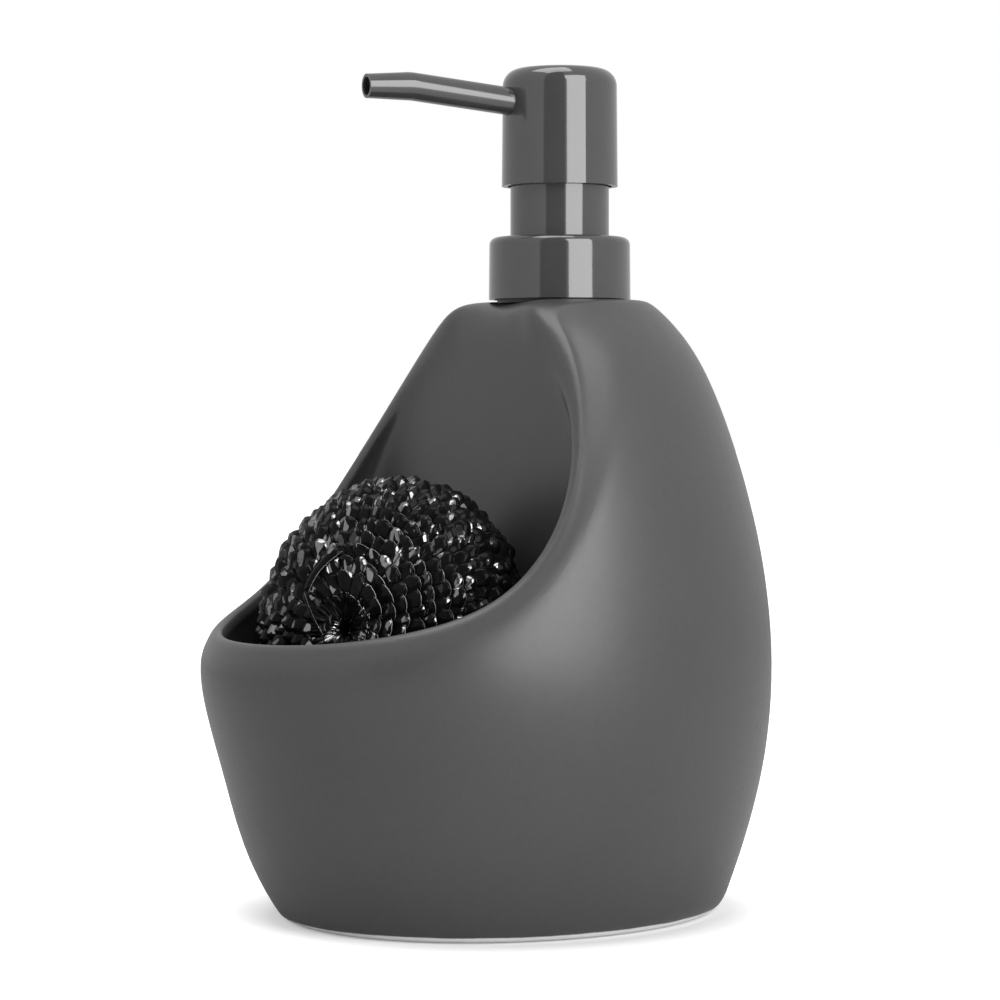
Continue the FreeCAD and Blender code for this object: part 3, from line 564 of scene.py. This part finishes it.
LOOPS = loop_tree()
rows = guide("ribbon_loops", [winding(0), winding(math.pi)])
knit(rows, LOOPS, ROW_LOOPS)
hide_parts("scrubber")
pleats = guide("ribbon_pleats", [pleat_ring()])
knit(pleats, LOOPS, HOLE_PLEATS)
ball_core()
stray("stray_ribbon", start=(-11.8, 4.6, 19.8), end=(-7.8, 16.0, 18.4), width=2.7 * MM, lift=1.2 * MM)
stray("stray_edge", start=(-12.2, 3.6, 19.7), end=(-3.1, -3.0, 21.3), width=0.6 * MM, lift=0.6 * MM)


# Floor, light and camera

FLOOR_SIZE = 12
# How far the floor is lifted towards white for the camera, near the object and away from it
FLOOR_LIFT = {"low": 0.26, "high": 0.84}
FLOOR_REACH = {"start": 0.048, "end": 0.07}

PHOTO_BEARING = 55
DARK_SECTOR = (-32, 11)
SECTOR_BLUR = 0.006
WALL_LEVEL = 0.8
DARK_LEVEL = 0.2
LAMP_AIM = Vector((0, 0, 0.1))

CAMERA_PLACE = Vector((0.5898, -0.3975, 0.1155))
CAMERA_AIM = Vector((-0.00794, 0.00416, 0.09420))
CAMERA_LENS = 111.5
CAMERA_FILM = 36


def floor_white():
    """White floor, lifted to the paper's white where the camera sees it."""
    material, tree, shader, place = finish("floor_white", roughness=0.9, specular=0.1)
    cloud = grain(tree, place, size=0.4)
    feed(tree, shader.inputs["Base Color"], tones(tree, cloud, grey(0.6), grey(0.62)))
    feed(tree, shader.inputs["Emission Color"], WHITE)
    seen = add(tree, "ShaderNodeLightPath").outputs["Is Camera Ray"]
    reach = add(tree, "ShaderNodeVectorMath", {0: place}, operation="LENGTH").outputs["Value"]
    lift = spread(tree, reach, **FLOOR_LIFT, **FLOOR_REACH)
    feed(tree, shader.inputs["Emission Strength"], sums(tree, "MULTIPLY", seen, lift))
    return material


def studio_floor():
    """A square sheet facing up, centred under the object."""
    half = FLOOR_SIZE / 2
    mesh = bpy.data.meshes.new("floor")
    mesh.from_pydata([(-half, -half, 0), (half, -half, 0), (half, half, 0), (-half, half, 0)],
                     [], [(0, 1, 2, 3)])
    mesh.materials.append(floor_white())
    linked("floor", mesh)


def studio_world():
    """White walls all round, with the dark side of the room behind the camera."""
    world = bpy.data.worlds.new("studio")
    bpy.context.scene.world = world
    world.use_nodes = True
    tree = world.node_tree
    walls = tree.nodes["Background"]
    walls.inputs["Color"].default_value = WHITE
    way = parts_of(tree, add(tree, "ShaderNodeTexCoord").outputs["Generated"])
    middle = math.radians(PHOTO_BEARING + sum(DARK_SECTOR) / 2)
    edge = math.cos(math.radians((DARK_SECTOR[1] - DARK_SECTOR[0]) / 2))
    across = sums(tree, "MULTIPLY", way["X"], math.sin(middle))
    along = sums(tree, "MULTIPLY", way["Y"], -math.cos(middle))
    level = sums(tree, "SQRT", sums(tree, "SUBTRACT", 1.0, sums(tree, "MULTIPLY", way["Z"], way["Z"])))
    turn = sums(tree, "DIVIDE", sums(tree, "ADD", across, along), level)
    wall = spread(tree, turn, low=WALL_LEVEL, high=DARK_LEVEL,
                  start=edge - SECTOR_BLUR, end=edge + SECTOR_BLUR)
    feed(tree, walls.inputs["Strength"], wall)
    white = add(tree, "ShaderNodeBackground", {"Color": WHITE, "Strength": 1.0})
    seen = add(tree, "ShaderNodeLightPath").outputs["Is Camera Ray"]
    mix = add(tree, "ShaderNodeMixShader", {0: seen, 1: walls.outputs[0], 2: white.outputs[0]})
    tree.links.new(mix.outputs[0], tree.nodes["World Output"].inputs["Surface"])


def aimed(thing, place, aim):
    """Puts a lamp or camera at a place and points it."""
    thing.location = place
    thing.rotation_euler = (aim - thing.location).to_track_quat("-Z", "Y").to_euler()


def softbox(name, bearing, height, distance, width, tall, radiance):
    """A rectangular lamp that faces the object from a bearing."""
    lamp = bpy.data.lights.new(name, "AREA")
    lamp.shape = "RECTANGLE"
    lamp.size = width
    lamp.size_y = tall
    lamp.energy = radiance * math.pi * width * tall
    turn = math.radians(bearing)
    aimed(linked(name, lamp), (distance * math.sin(turn), -distance * math.cos(turn), height), LAMP_AIM)


def photo_camera():
    """The camera at the photo's viewing angle."""
    camera = linked("camera", bpy.data.cameras.new("camera"))
    aimed(camera, CAMERA_PLACE, CAMERA_AIM)
    camera.data.lens = CAMERA_LENS
    camera.data.sensor_width = CAMERA_FILM
    bpy.context.scene.camera = camera


studio_floor()
studio_world()
softbox("key_softbox", bearing=PHOTO_BEARING + 35, height=0.35, distance=1.0,
        width=0.74, tall=1.3, radiance=4.9)
softbox("top_softbox", bearing=PHOTO_BEARING - 70, height=1.3, distance=0.15,
        width=0.8, tall=0.8, radiance=3.4)
photo_camera()
bpy.context.scene.view_settings.view_transform = "Standard"
